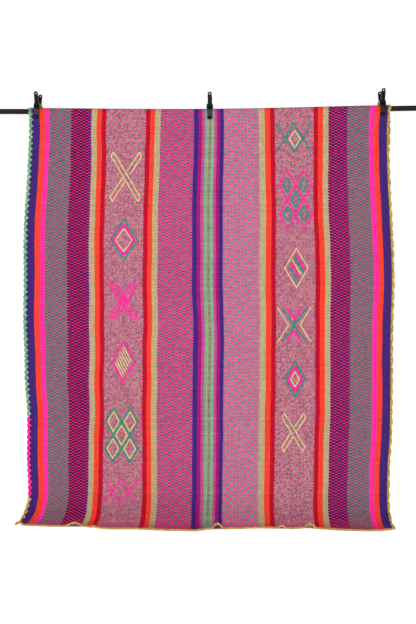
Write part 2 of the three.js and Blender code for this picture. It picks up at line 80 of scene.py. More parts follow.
# Distance in mm from the rod's axis forward to the woven hem, by the place across
HEM_REACH = [
    (-770, 60), (-700, 69), (-620, 80), (-485, 75), (-390, 113), (-290, 109), (-160, 126), (-45, 132),
    (5, 101), (130, 89), (212, 74), (355, 83), (399, 65), (518, 96), (632, 108), (690, 105), (735, 88),
    (775, 60),
]
# Humps of the hem: place across, half width, height and length back from the hem, in mm
HUMPS = [
    (-752, 24, 10, 50), (-518, 36, 13, 80), (-437, 12, 5, 40), (41, 25, 20, 90), (305, 18, 8, 60),
    (421, 24, 18, 80),
]
# Soft standing folds in mm: place across, half width, depth towards the viewer, and the lengths down where
# each starts and ends
FOLDS = [
    (-690, 80, -5, 200, 1500), (-518, 60, 6, 1150, 1700), (-330, 110, -4, 500, 1650),
    (29, 60, 5, 1100, 1700), (215, 100, -4, 700, 1650), (421, 60, 6, 1150, 1700), (690, 80, -5, 250, 1500),
]
EASED_SHARE = 0.4


def eased(at, places, values):
    """Value between a table's rows on a smooth curve through them."""
    places, values = np.asarray(places, float), np.asarray(values, float)
    slope = np.gradient(values, places)
    at = np.clip(at, places[0], places[-1])
    i = np.clip(np.searchsorted(places, at) - 1, 0, len(places) - 2)
    span = places[i + 1] - places[i]
    t = (at - places[i]) / span
    return (
        (1 + 2 * t) * (1 - t) ** 2 * values[i]
        + t * (1 - t) ** 2 * span * slope[i]
        + t * t * (3 - 2 * t) * values[i + 1]
        + t * t * (t - 1) * span * slope[i + 1]
    )


def soft_rise(distance, half_width):
    """1 in the middle, 0 at the half width and beyond."""
    inside = np.abs(distance) < half_width
    return np.where(inside, np.cos(np.pi * distance / (2 * half_width)) ** 2, 0.0)


def rod_height(x):
    return ROD_MID_HEIGHT + ROD_SAG * (1 - np.cos(np.pi * x / ROD_HALF)) / 2


def foot_start(x):
    """Length down from the rod's top to where the cloth lies flat."""
    return OVER_ROD + rod_height(x) - BEND_RADIUS - FLOOR_LEVEL + BEND_LENGTH


def foot_length(x):
    reach = np.interp(x, [row[0] / 1000 for row in HEM_REACH], [row[1] / 1000 for row in HEM_REACH])
    return reach - CLOTH_ARC - BEND_RADIUS


def hem_down(x):
    return foot_start(x) + foot_length(x)


def drift(x, down):
    rows = np.array(DRIFT) / 1000
    columns = np.stack([eased(down, rows[:, 0], rows[:, 1 + i]) for i in range(len(DRIFT_AT))], axis=-1)
    i = np.clip(np.searchsorted(DRIFT_AT, x) - 1, 0, len(DRIFT_AT) - 2)
    t = np.clip((x - DRIFT_AT[i]) / (DRIFT_AT[i + 1] - DRIFT_AT[i]), 0, 1)
    t = t * t * (3 - 2 * t) * EASED_SHARE + t * (1 - EASED_SHARE)
    near = np.take_along_axis(columns, i[..., None], axis=-1)[..., 0]
    far = np.take_along_axis(columns, i[..., None] + 1, axis=-1)[..., 0]
    return near + (far - near) * t


def middle_at(x, down):
    """Middle of the cloth's thickness at a place across and a length down, both arrays."""
    x, down = np.broadcast_arrays(np.asarray(x, float), np.asarray(down, float))
    height = rod_height(x)
    bend_starts = foot_start(x) - BEND_LENGTH
    over = np.clip(down, -OVER_ROD, OVER_ROD) / CLOTH_ARC
    turn = np.clip((down - bend_starts) / BEND_RADIUS, 0, np.pi / 2)
    on_floor = np.maximum(down - foot_start(x), 0)
    hung = np.clip(down - OVER_ROD, 0, bend_starts - OVER_ROD)
    back = np.maximum(-down - OVER_ROD, 0)
    y = -CLOTH_ARC * np.sin(over) - BEND_RADIUS * (1 - np.cos(turn)) - on_floor
    z = height + CLOTH_ARC * np.cos(over) - hung - back - BEND_RADIUS * np.sin(turn)
    depth = np.zeros_like(x)
    for place, half_width, fold, start, end in FOLDS:
        along = soft_rise(down - (start + end) / 2000, (end - start) / 2000)
        depth += fold / 1000 * soft_rise(x - place / 1000, half_width / 1000) * along
    y -= depth * np.cos(turn)
    z += depth * np.sin(turn) * (turn < np.pi / 2)
    for place, half_width, hump, length in HUMPS:
        before_hem = np.clip(hem_down(x) - down, 0, None) * 1000 / length
        rise = np.clip(1 - before_hem, 0, 1) ** 1.3 * (turn > 0)
        z += hump / 1000 * soft_rise(x - place / 1000, half_width / 1000) * rise
    return np.stack([x + drift(x, down), y + ROD_Y, z], axis=-1)


def lay(x, down, off=0.0):
    """Point lifted off the cloth's middle by off, and the ways across, down and out of the good face."""
    step = 0.0015
    x, down = np.broadcast_arrays(np.asarray(x, float), np.asarray(down, float))
    across = middle_at(x + step, down) - middle_at(x - step, down)
    along = middle_at(x, down + step) - middle_at(x, down - step)
    across /= np.linalg.norm(across, axis=-1, keepdims=True)
    along /= np.linalg.norm(along, axis=-1, keepdims=True)
    face = np.cross(along, across)
    face /= np.linalg.norm(face, axis=-1, keepdims=True)
    return middle_at(x, down) + face * np.asarray(off)[..., None], across, along, face


# The two woven webs
# Each is a warp-faced strip of hand-spun wool, woven on its own and sewn to its neighbour down the middle.
# Stripes are the warp's colours; checks come from two warps that change places at every pick.
CELL, EVEN_TO, ROWS_OVER_ROD, ROWS_AT_FOOT = 0.0078, 1.6, 17, 38
CHECK_PERIOD, FINE_PERIOD, FINE_PITCH, WARP_RIB = 0.0117, 0.0110, 0.0056, 0.0016
YARN_WANDER, SEAM_GAP = 0.0012, 0.0003
# A check's sway and lean and a dash's shape, in shares of the check's period
SWAY, LEAN, FIELD_STEADINESS = 0.22, 0.16, 0.85
DASH_ROUNDING, DASH_SHORTENING, DASH_BLUR, LONGER_AT_HEM = 0.06, 0.038, 0.03, 0.07
HEM_PART, HEM_PART_FADE = 0.1, 0.06
# A ramp's colour holds 0 to 1, so cells are stored as shares of this size
CELL_RANGE = 0.02
WOOL = {
    "outer_purple": "#261250",
    "bright_purple": "#5A3892",
    "orange": "#EE402E",
    "hot_pink": "#FC2E9A",
    "check_green": "#306E64",
    "mauve": "#E62086",
    "check_red": "#FA2E48",
    "navy": "#141256",
    "blue_navy": "#121C62",
    "violet": "#2E1C74",
    "tan": "#B2A27A",
    "crimson": "#B4102A",
    "field_pink": "#FF0C84",
    "field_grey": "#508C80",
    "field_tan": "#BC9480",
    "field_dark": "#5C3C50",
    "check_pink": "#FF1492",
    "grey_green": "#226A60",
    "aqua": "#3C9680",
    "centre_purple": "#40227C",
    "magenta": "#9C1C68",
    "light_magenta": "#B84A8C",
    "green_one": "#70A280",
    "green_two": "#96A07A",
    "green_three": "#849678",
    "green_four": "#84A684",
    "fleck": "#282430",
}
# Stripes across each web: where it ends in mm, its two warp colours, the width and length of its check's
# cells in mm, how far the picks tooth its far edge in mm, and the share of a cell's length its dash takes
CHECK = CHECK_PERIOD * 1000
PLAIN_COLUMN, PLAIN_SHARE = 10, 0.43


def plain(end, colour, tooth=0.8):
    return (end, colour, colour, PLAIN_COLUMN, CHECK, tooth, PLAIN_SHARE)


PURPLES = ("bright_purple", "outer_purple", 4.9, 8.3, 0.8, 0.38)
MAUVE_GREEN = ("mauve", "check_green", 14.6, CHECK, 1, 0.26)
RED_NAVY = ("check_red", "navy", 12.9, CHECK, 1, 0.27)
RED_BLUE = ("check_red", "blue_navy", 12.9, CHECK, 1, 0.27)
RED_VIOLET = ("check_red", "violet", 13.4, CHECK, 1.4, 0.22)
PINK_GREEN = ("check_pink", "grey_green", 14.4, CHECK, 1.4, 0.44)
PINK_AQUA = ("check_pink", "aqua", 14.4, CHECK, 1, 0.45)
FIELD = ("field_pink", "field_grey", FINE_PITCH * 1000, FINE_PERIOD * 1000, 1.8, 0.42)
LEFT_STRIPES = [
    (-723.5, *PURPLES), plain(-700.4, "orange"), plain(-681.5, "hot_pink"), (-584.3, *MAUVE_GREEN),
    (-506.9, *RED_NAVY), (-493.5, *RED_VIOLET), plain(-470.5, "tan"), plain(-449.6, "orange"),
    plain(-430.8, "crimson", 1.8), (-270.3, *FIELD), plain(-251.5, "crimson"), plain(-232.4, "orange"),
    plain(-208.7, "tan"), (-65, *PINK_GREEN), plain(-45.9, "centre_purple"), plain(-31, "magenta"),
    plain(-18.2, "light_magenta"), plain(-9.5, "green_one", 0.3), plain(-3.5, "green_two", 0.3),
    plain(3, "green_three", 0.3),
]
RIGHT_STRIPES = [
    plain(9, "green_three", 0.3), plain(20.7, "green_four"), plain(32.3, "light_magenta"),
    plain(46, "magenta"), plain(62.1, "centre_purple", 1.4), (212.9, *PINK_AQUA), plain(238, "tan"),
    plain(261.1, "orange"), plain(280.5, "crimson", 1.8), (442.5, *FIELD), plain(461.4, "crimson"),
    plain(482.3, "orange"), plain(505.3, "tan", 1.4), (587.2, *RED_BLUE), (680.9, *MAUVE_GREEN),
    plain(701.7, "hot_pink"), plain(722.5, "orange"), (757, *PURPLES),
]


def linear(code):
    """Linear colour for a shader from the hex code of the colour that the eye sees."""
    parts = [int(code[i:i + 2], 16) / 255 for i in (1, 3, 5)]
    return (*[c / 12.92 if c <= 0.04 else ((c + 0.055) / 1.055) ** 2.4 for c in parts], 1.0)


def placed(name, data):
    made = bpy.data.objects.new(name, data)
    bpy.context.scene.collection.objects.link(made)
    return made


def new_object(name, points, faces):
    mesh = bpy.data.meshes.new(name)
    mesh.from_pydata([tuple(p) for p in points], [], [tuple(f) for f in faces])
    mesh.polygons.foreach_set("use_smooth", [True] * len(mesh.polygons))
    return placed(name, mesh)


class Shader:
    """A new material's nodes, joined by short calls."""

    def __init__(self, name, roughness, **constants):
        self.material = bpy.data.materials.new(name)
        self.material.use_nodes = True
        self.nodes = self.material.node_tree.nodes
        self.links = self.material.node_tree.links
        self.surface = self.nodes["Principled BSDF"]
        self.surface.inputs["Roughness"].default_value = roughness
        for key, value in constants.items():
            self.surface.inputs[key.replace("_", " ")].default_value = value

    def plug(self, value, socket):
        if isinstance(value, bpy.types.NodeSocket):
            self.links.new(value, socket)
        elif value is not None:
            socket.default_value = value

    def node(self, kind, inputs=(), **settings):
        made = self.nodes.new(kind)
        for key, value in settings.items():
            setattr(made, key, value)
        for key, value in dict(inputs).items():
            self.plug(value, made.inputs[key])
        return made

    def math(self, operation, a, b=None, c=None):
        made = self.node("ShaderNodeMath", operation=operation)
        for socket, value in zip(made.inputs, (a, b, c)):
            self.plug(value, socket)
        return made.outputs[0]

    def times(self, first, *others):
        for other in others:
            first = self.math("MULTIPLY", first, other)
        return first

    def plus(self, first, *others):
        for other in others:
            first = self.math("ADD", first, other)
        return first

    def minus(self, a, b):
        return self.math("SUBTRACT", a, b)

    def split(self, vector):
        return self.node("ShaderNodeSeparateXYZ", {"Vector": vector}).outputs

    def joined(self, x, y, z=0.0):
        return self.node("ShaderNodeCombineXYZ", {"X": x, "Y": y, "Z": z}).outputs[0]

    def noise(self, vector, scale, detail=2.0):
        inputs = {"Vector": vector, "Scale": scale, "Detail": detail}
        return self.node("ShaderNodeTexNoise", inputs).outputs["Fac"]

    def between(self, value, low, high, to_low=0.0, to_high=1.0):
        inputs = {"Value": value, "From Min": low, "From Max": high, "To Min": to_low, "To Max": to_high}
        return self.node("ShaderNodeMapRange", inputs).outputs["Result"]

    def vary(self, vector, scale, detail, to_low, to_high, spread=0.2):
        """Smooth noise, with its usual spread about a half stretched over the given range."""
        return self.between(self.noise(vector, scale, detail), 0.5 - spread, 0.5 + spread, to_low, to_high)

    def mix(self, factor, a, b, blend="MIX"):
        made = self.node("ShaderNodeMix", data_type="RGBA", blend_type=blend)
        self.plug(factor, made.inputs["Factor"])
        self.plug(a, made.inputs[6])
        self.plug(b, made.inputs[7])
        return made.outputs[2]

    def pick(self, index, colours):
        """The colour whose number in the list the whole number index gives."""
        count = len(colours)
        made = self.node("ShaderNodeValToRGB", {"Fac": self.math("DIVIDE", self.plus(index, 0.5), count)})
        ramp = made.color_ramp
        ramp.interpolation = "CONSTANT"
        for i, colour in enumerate(colours[1:], 1):
            ramp.elements[0].color = colours[0]
            element = ramp.elements.new(i / count) if i < count - 1 else ramp.elements[-1]
            element.position, element.color = i / count, colour
        return made.outputs["Color"]

    def finish(self, colour, height=None, distance=0.001, strength=0.6):
        self.plug(colour, self.surface.inputs["Base Color"])
        if height is not None:
            inputs = {"Height": height, "Distance": distance, "Strength": strength}
            self.plug(self.node("ShaderNodeBump", inputs).outputs["Normal"], self.surface.inputs["Normal"])
        return self.material


def woven_material(name, start, stripes):
    """Warp-faced wool: stripes and checks by the web's own UV map, which is in metres."""
    s = Shader(name, 0.95, Sheen_Weight=0.03, Sheen_Roughness=0.5, Specular_IOR_Level=0.05)
    uv = s.node("ShaderNodeUVMap", uv_map="Weave").outputs["UV"]
    across, down, _ = s.split(uv)
    width = stripes[-1][0] / 1000 - start

    # Yarns wander by about a millimetre, and the picks tooth the edges of stripes
    wandered = s.plus(across, s.vary(uv, 9.0, 3.0, -YARN_WANDER, YARN_WANDER))
    picks = s.math("SINE", s.times(down, 2 * math.pi / CHECK_PERIOD))
    index = 0.0
    for end, _, _, _, _, tooth, _ in stripes[:-1]:
        edge = s.plus(s.times(picks, tooth / 1000), end / 1000)
        index = s.plus(index, s.math("GREATER_THAN", wandered, edge))
    first = s.pick(index, [linear(WOOL[stripe[1]]) for stripe in stripes])
    second = s.pick(index, [linear(WOOL[stripe[2]]) for stripe in stripes])
    starts = [0.0] + [(stripe[0] / 1000 - start) / width for stripe in stripes[:-1]]
    cell = 1 / (CELL_RANGE * 1000)
    facts = [(begin, stripe[3] * cell, stripe[4] * cell, stripe[6]) for begin, stripe in zip(starts, stripes)]
    facts = s.pick(index, facts)
    dash_share = facts.node.outputs["Alpha"]
    stripe_start, cell_width, cell_length = s.split(facts)

    # Checks: each column's dashes are half a period out from its neighbours'
    from_start = s.minus(s.minus(wandered, start), s.times(stripe_start, width))
    column = s.math("DIVIDE", from_start, s.times(cell_width, CELL_RANGE))
    number = s.math("FLOOR", column)
    within = s.math("FRACT", column)
    in_field = s.math("COMPARE", cell_length, FINE_PERIOD / CELL_RANGE, 0.02)
    give = s.minus(1.0, s.times(in_field, FIELD_STEADINESS))
    sway = s.times(give, s.vary(uv, 6.0, 2.0, -SWAY, SWAY))
    lean = s.times(give, s.vary(uv, 30.0, 2.0, -LEAN, LEAN))
    phase = s.math("DIVIDE", down, s.times(cell_length, CELL_RANGE))
    phase = s.plus(phase, s.times(number, 0.5), s.plus(sway, lean))
    from_middle = s.math("ABSOLUTE", s.minus(s.math("FRACT", phase), 0.5))
    roundness = s.math("SINE", s.times(within, math.pi))
    hem_part = EVEN_TO + HEM_PART
    near_hem = s.between(down, hem_part, hem_part + HEM_PART_FADE, 0.0, LONGER_AT_HEM)
    half = s.minus(s.plus(s.times(dash_share, 0.5), near_hem), DASH_SHORTENING)
    half = s.plus(s.times(roundness, DASH_ROUNDING), half)
    dash = s.between(s.minus(half, from_middle), -DASH_BLUR, DASH_BLUR)
    colour = s.mix(dash, second, first)

    # In the motif fields' finer check some crossings show a tan yarn or the dark ground between the yarns
    crossing = s.joined(number, s.math("FLOOR", s.times(phase, 2.0)))
    chance = s.node("ShaderNodeTexWhiteNoise", {"Vector": crossing}).outputs["Value"]
    dark_spot = s.times(in_field, s.between(chance, 0.0, 0.45, 0.45, 0.0))
    tan_spot = s.times(in_field, s.between(chance, 0.6, 1.0, 0.0, 0.5))
    colour = s.mix(dark_spot, colour, linear(WOOL["field_dark"]))
    colour = s.mix(tan_spot, colour, linear(WOOL["field_tan"]))

    # Single yarns and crossings differ a little in dye, and the whole cloth is faintly mottled
    yarn = s.joined(s.times(across, 420.0), s.times(down, 7.0))
    streak = s.vary(yarn, 1.0, 2.0, 0.86, 1.12, 0.25)
    mottle = s.vary(uv, 240.0, 2.0, 0.9, 1.1)
    grain = s.vary(uv, 520.0, 2.0, 0.84, 1.14, 0.25)
    crossing_tone = s.between(chance, 0.0, 1.0, 0.88, 1.12)
    shade = s.times(s.times(streak, mottle), s.times(grain, crossing_tone))
    colour = s.mix(1.0, colour, s.joined(shade, shade, shade), "MULTIPLY")

    # A few small dark flecks, one in every third place or so
    spot = s.node("ShaderNodeTexVoronoi", {"Vector": uv, "Scale": 6.0})
    chosen = s.math("GREATER_THAN", s.split(spot.outputs["Color"])["X"], 0.66)
    fleck = s.times(chosen, s.between(spot.outputs["Distance"], 0.018, 0.03, 0.75, 0.0))
    colour = s.mix(fleck, colour, linear(WOOL["fleck"]))

    # Ribs of single warp yarns, crossed by the picks, and loose fibres
    rib = s.math("ABSOLUTE", s.math("SINE", s.times(across, math.pi / WARP_RIB)))
    pick = s.math("ABSOLUTE", s.math("SINE", s.times(s.plus(phase, 0.25), math.pi)))
    fibres = s.noise(uv, 900.0)
    height = s.plus(s.times(rib, 0.5), s.times(pick, 0.8), s.times(fibres, 0.7))
    return s.finish(colour, height, 0.0011, 0.8)


def woven_web(name, left, right, material):
    """A closed sheet of the cloth's thickness, with the weave's UV map in metres."""
    columns = np.linspace(left, right, round((right - left) / CELL) + 1)
    total = OVER_ROD + BACK_DROP
    rows = np.concatenate([
        np.linspace(-total, -OVER_ROD, round(BACK_DROP / CELL) + 1),
        np.linspace(-OVER_ROD, OVER_ROD, ROWS_OVER_ROD)[1:-1],
        np.linspace(OVER_ROD, EVEN_TO, round((EVEN_TO - OVER_ROD) / CELL) + 1),
    ])
    rest = np.linspace(0, 1, ROWS_AT_FOOT)[1:]
    across = np.tile(columns, (len(rows) + len(rest), 1))
    down = np.concatenate([
        np.tile(rows[:, None], (1, len(columns))),
        EVEN_TO + rest[:, None] * (hem_down(columns) - EVEN_TO)[None, :],
    ])
    points = [lay(across, down, side * CLOTH / 2)[0].reshape(-1, 3) for side in (1, -1)]
    high, wide = across.shape
    front = np.arange(high * wide).reshape(high, wide)
    back = front + high * wide

    def quads(a, b, c, d):
        return np.stack([a.ravel(), b.ravel(), c.ravel(), d.ravel()], axis=1)

    faces = np.concatenate([
        quads(front[:-1, :-1], front[1:, :-1], front[1:, 1:], front[:-1, 1:]),
        quads(back[:-1, :-1], back[:-1, 1:], back[1:, 1:], back[1:, :-1]),
        quads(front[:-1, 0], back[:-1, 0], back[1:, 0], front[1:, 0]),
        quads(front[:-1, -1], front[1:, -1], back[1:, -1], back[:-1, -1]),
        quads(front[0, :-1], front[0, 1:], back[0, 1:], back[0, :-1]),
        quads(front[-1, :-1], back[-1, :-1], back[-1, 1:], front[-1, 1:]),
    ])
    web = new_object(name, np.concatenate(points), faces)
    weave = np.concatenate([np.stack([across, down], axis=-1).reshape(-1, 2)] * 2)
    corners = np.empty(len(web.data.loops), dtype=int)
    web.data.loops.foreach_get("vertex_index", corners)
    layer = web.data.uv_layers.new(name="Weave")
    layer.uv.foreach_set("vector", weave[corners].astype(np.float32).ravel())
    web.data.materials.append(material)
    return web


left_weave = woven_material("left_weave", PANEL_LEFT, LEFT_STRIPES)
right_weave = woven_material("right_weave", SEAM, RIGHT_STRIPES)
left_web = woven_web("left_web", PANEL_LEFT, SEAM - SEAM_GAP / 2, left_weave)
right_web = woven_web("right_web", SEAM + SEAM_GAP / 2, PANEL_RIGHT, right_weave)
for web, node in ((left_web, "left_panel"), (right_web, "right_panel")):
    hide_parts(node)
    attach(web, "root")

# The seam down the middle
# The webs are sewn edge to edge by hand, with short overcast stitches of leftover yarn in rust, brown and
# green. Each stitch is a strand bent over the two edges, with a matching one on the back.
SEAM_PITCH, SEAM_REACH, SEAM_OFF = 0.0041, 0.0045, CLOTH / 2 + 0.0002
SEAM_START, SEAM_END, SEAM_SHIFT, SEAM_SLANT = 0.006, 0.004, 0.0007, 0.6
OFF_FLOOR = 0.0002


class Tree:
    """A new Geometry Nodes tree with named inputs."""

    def __init__(self, name, **inputs):
        self.group = bpy.data.node_groups.new(name, "GeometryNodeTree")
        self.names = {}
        for label, kind in {"Rail": "Geometry", **inputs, "Finish": "Material"}.items():
            made = self.group.interface.new_socket(label, in_out="INPUT", socket_type="NodeSocket" + kind)
            self.names[label] = made.identifier
        self.group.interface.new_socket("Made", in_out="OUTPUT", socket_type="NodeSocketGeometry")
        self.given = self.group.nodes.new("NodeGroupInput").outputs

    def node(self, kind, inputs=(), **settings):
        made = self.group.nodes.new(kind)
        for key, value in settings.items():
            setattr(made, key, value)
        for key, value in dict(inputs).items():
            if isinstance(value, bpy.types.NodeSocket):
                self.group.links.new(value, made.inputs[key])
            else:
                made.inputs[key].default_value = value
        return made

    def math(self, operation, a, b=0.0):
        return self.node("ShaderNodeMath", {0: a, 1: b}, operation=operation).outputs[0]

    def vector(self, x=0.0, y=0.0, z=0.0):
        return self.node("ShaderNodeCombineXYZ", {"X": x, "Y": y, "Z": z}).outputs[0]

    def read(self, name, kind):
        made = self.node("GeometryNodeInputNamedAttribute", {"Name": name}, data_type=kind)
        return made.outputs["Attribute"]

    def stand(self):
        """Turn of an instance: its length along the rail's out, its top towards the rail's face."""
        axes = {
            "Primary Axis": self.read("out", "FLOAT_VECTOR"),
            "Secondary Axis": self.read("face", "FLOAT_VECTOR"),
        }
        made = self.node("FunctionNodeAxesToRotation", axes, primary_axis="X", secondary_axis="Z")
        return made.outputs[0]

    def strand(self, thickness, bulge, sides=6, steps=5):
        """A strand one metre long, bent up in the middle, with rounded ends and its own yarn coordinates."""
        ends = {"Resolution": steps, "Start": (0, 0, 0), "End": (1, 0, 0)}
        arc = self.node("GeometryNodeCurveQuadraticBezier", ends)
        self.group.links.new(self.vector(0.5, 0.0, self.math("MULTIPLY", bulge, 2.0)), arc.inputs["Middle"])
        along = self.node("GeometryNodeSplineParameter").outputs["Factor"]
        round_end = self.math("POWER", self.math("SINE", self.math("MULTIPLY", along, math.pi)), 0.3)
        full = self.math("MULTIPLY", round_end, thickness)
        radius = self.math("MAXIMUM", full, self.math("MULTIPLY", thickness, 0.35))
        yarn = {"Geometry": arc.outputs[0], "Name": "yarn", "Value": along}
        kept = self.node("GeometryNodeStoreNamedAttribute", yarn).outputs[0]
        ring = self.node("GeometryNodeCurvePrimitiveCircle", {"Resolution": sides, "Radius": 0.5}).outputs[0]
        tube = {"Curve": kept, "Profile Curve": ring, "Scale": radius, "Fill Caps": True}
        return self.node("GeometryNodeCurveToMesh", tube).outputs[0]

    def end(self, geometry):
        whole = self.node("GeometryNodeRealizeInstances", {"Geometry": geometry}).outputs[0]
        smooth = self.node("GeometryNodeSetShadeSmooth", {"Geometry": whole}).outputs[0]
        dye = {"Geometry": smooth, "Material": self.given["Finish"]}
        self.node("NodeGroupOutput", {"Made": self.node("GeometryNodeSetMaterial", dye).outputs[0]})


def rail(name, starts, ends, faces, girths=1.0):
    """Bare points that a tree sets its strands on, with each strand's way, length, face and girth."""
    way = ends - starts
    reach = np.linalg.norm(way, axis=-1)
    made = new_object(name, starts, [])
    for key, values in (("out", way / reach[:, None]), ("face", faces)):
        layer = made.data.attributes.new(key, "FLOAT_VECTOR", "POINT")
        layer.data.foreach_set("vector", np.asarray(values, np.float32).ravel())
    for key, values in (("reach", reach), ("girth", np.broadcast_to(girths, reach.shape))):
        layer = made.data.attributes.new(key, "FLOAT", "POINT")
        layer.data.foreach_set("value", np.asarray(values, np.float32))
    return made


def as_made(base):
    """The object's mesh with its modifiers applied."""
    return bpy.data.meshes.new_from_object(base.evaluated_get(bpy.context.evaluated_depsgraph_get()))


def worked(name, base, tree, finish, **sizes):
    """Runs the tree on the rail and keeps the result as a plain mesh that rests on the floor."""
    modifier = base.modifiers.new("work", "NODES")
    modifier.node_group = tree.group
    for label, value in sizes.items():
        modifier[tree.names[label]] = value
    modifier[tree.names["Finish"]] = finish
    mesh = as_made(base)
    mesh.name = name
    bpy.data.objects.remove(base)
    places = np.empty(len(mesh.vertices) * 3, np.float32)
    mesh.vertices.foreach_get("co", places)
    places = places.reshape(-1, 3)
    places[:, 2] = np.maximum(places[:, 2], OFF_FLOOR)
    mesh.vertices.foreach_set("co", places.ravel())
    return placed(name, mesh)


def yarn_material(name, colours, scale=160.0):
    """Plied wool yarn in one dye lot: a few near colours, fibres and the twist of the plies."""
    s = Shader(name, 0.92, Sheen_Weight=0.1, Sheen_Roughness=0.5, Specular_IOR_Level=0.1)
    at = s.node("ShaderNodeTexCoord").outputs["Object"]
    lengths = s.node("ShaderNodeTexVoronoi", {"Vector": at, "Scale": scale})
    choice = s.times(s.split(lengths.outputs["Color"])["X"], len(colours))
    colour = s.pick(s.math("FLOOR", choice), [linear(dye) for dye in colours])
    grain = s.vary(at, 700.0, 3.0, 0.8, 1.22, 0.25)
    along = s.node("ShaderNodeAttribute", attribute_name="yarn").outputs["Fac"]
    twist = s.math("SINE", s.times(along, 26.0))
    height = s.plus(s.noise(at, 1100.0), s.times(twist, 0.35))
    return s.finish(s.mix(1.0, colour, s.joined(grain, grain, grain), "MULTIPLY"), height, 0.0006, 0.7)


stitch_tree = Tree("yarn_strands", Thickness="Float", Bulge="Float", Flatness="Float")
girth = stitch_tree.read("girth", "FLOAT")
flattened = stitch_tree.math("MULTIPLY", girth, stitch_tree.given["Flatness"])
set_strands = {
    "Points": stitch_tree.given["Rail"],
    "Instance": stitch_tree.strand(stitch_tree.given["Thickness"], stitch_tree.given["Bulge"]),
    "Rotation": stitch_tree.stand(),
    "Scale": stitch_tree.vector(stitch_tree.read("reach", "FLOAT"), girth, flattened),
}
stitch_tree.end(stitch_tree.node("GeometryNodeInstanceOnPoints", set_strands).outputs[0])

back_hem = -BACK_DROP - OVER_ROD
places = np.arange(back_hem + SEAM_START, float(hem_down(np.array(SEAM))) - SEAM_END, SEAM_PITCH)
chance = np.random.default_rng(11)
lean = np.where(np.arange(len(places)) % 2 == 0, 1, -1) * chance.uniform(0.4, 1.0, len(places)) * SEAM_REACH
shift = chance.uniform(-SEAM_SHIFT, SEAM_SHIFT, len(places))
parts = []
for side in (1, -1):
    starts, _, _, face = lay(SEAM - SEAM_REACH + shift, places, side * SEAM_OFF)
    ends = lay(SEAM + SEAM_REACH + shift, places + lean * SEAM_SLANT, side * SEAM_OFF)[0]
    parts.append((starts, ends, face * side))
seam_rail = rail("seam_rail", *[np.concatenate(part) for part in zip(*parts)])
seam_dyes = ["#96AE80", "#A05C44", "#86A884", "#4C4C38", "#B4A880", "#9C483C", "#6CAC88", "#A89470"]
seam_wool = yarn_material("seam_yarn", seam_dyes, 230.0)
seam_sizes = {"Thickness": 0.0024, "Bulge": 0.0009, "Flatness": 0.7}
seam = worked("seam_stitches", seam_rail, stitch_tree, seam_wool, **seam_sizes)
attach(seam, "root")

# Pick-up motifs in the two plain fields
# Crosses, diamonds and small lattices, worked while weaving: single teal, pink and tan yarns float over the
# picks in short slanting steps, so each line stands a little proud of the cloth.
FLOAT_PITCH, FLOAT_REACH, FLOAT_OFF, FLOAT_STEEPNESS = 0.0047, 0.0062, CLOTH / 2 + 0.0001, 0.86


def diamond(x, down, half_width, half_height):
    ring = [(0, -1), (1, 0), (0, 1), (-1, 0), (0, -1)]
    return [[(x + half_width * across, down + half_height * along) for across, along in ring]]


def share_of(start, end, share):
    return (start[0] + (end[0] - start[0]) * share, start[1] + (end[1] - start[1]) * share)


def outlined_cross(x, down, half_width, half_height):
    """Two crossing bars, each drawn round, the second passing under the first."""
    tip_across, tip_along = 9, 19
    left, right, top, bottom = x - half_width, x + half_width, down - half_height, down + half_height
    upper, lower = (left + tip_across, top), (right, bottom - tip_along)
    over = [upper, lower, (right - tip_across, bottom), (left, top + tip_along), upper]
    near = ((right - tip_across, top), (left, bottom - tip_along))
    far = ((right, top + tip_along), (left + tip_across, bottom))
    return [
        over,
        [share_of(*near, 0.41), near[0], far[0], share_of(*far, 0.39)],
        [share_of(*near, 0.57), near[1], far[1], share_of(*far, 0.57)],
    ]


def lined_cross(x, down, half_width, half_height, spacing):
    """A cross of three lines each way."""
    lines = []
    for turn in (1, -1):
        for k in range(3):
            start = x + turn * (k * spacing - half_width)
            end = x + turn * (half_width - (2 - k) * spacing)
            lines.append([(start, down - half_height), (end, down + half_height)])
    return lines


def double_cross(x, down, half_width, half_height):
    """Two zigzags that cross, which make two crosses side by side."""
    zigzag = ((x - half_width, half_height), (x, -half_height), (x + half_width, half_height))
    return [[(place, down + turn * rise) for place, rise in zigzag] for turn in (1, -1)]


def lattice(x, down, across, along):
    """The outlines of five diamonds that share their sides: two above, one between and two below."""
    steps = (((-1, -2), (2, 1), (1, 2)), ((-2, -1), (1, 2)), ((-2, -1), (-1, -2)))
    lines = [[(turn * a, b) for a, b in line] for turn in (1, -1) for line in steps]
    return [[(x + a * across, down + b * along) for a, b in line] for line in lines]


def five(x, down, across, along, half_width, half_height):
    """Five small diamonds, one inside each of a lattice's."""
    steps = ((-1, -1), (1, -1), (0, 0), (-1, 1), (1, 1))
    places = [(x + a * across, down + b * along) for a, b in steps]
    return [line for place in places for line in diamond(*place, half_width, half_height)]


def bars(x, down, half_width, half_height, shares, reach=0.84, inset=0.09):
    """Slanting bars inside a diamond, each starting the given share of the way down its upper left side."""
    lines = []
    for share in shares:
        start_x = x + inset * half_width - half_width * share
        start_down = down - half_height * (1 - share) + inset * half_height
        end = (start_x + half_width * reach, start_down + half_height * reach)
        lines.append([(start_x, start_down), end])
    return lines


SIDES = (1, -1)
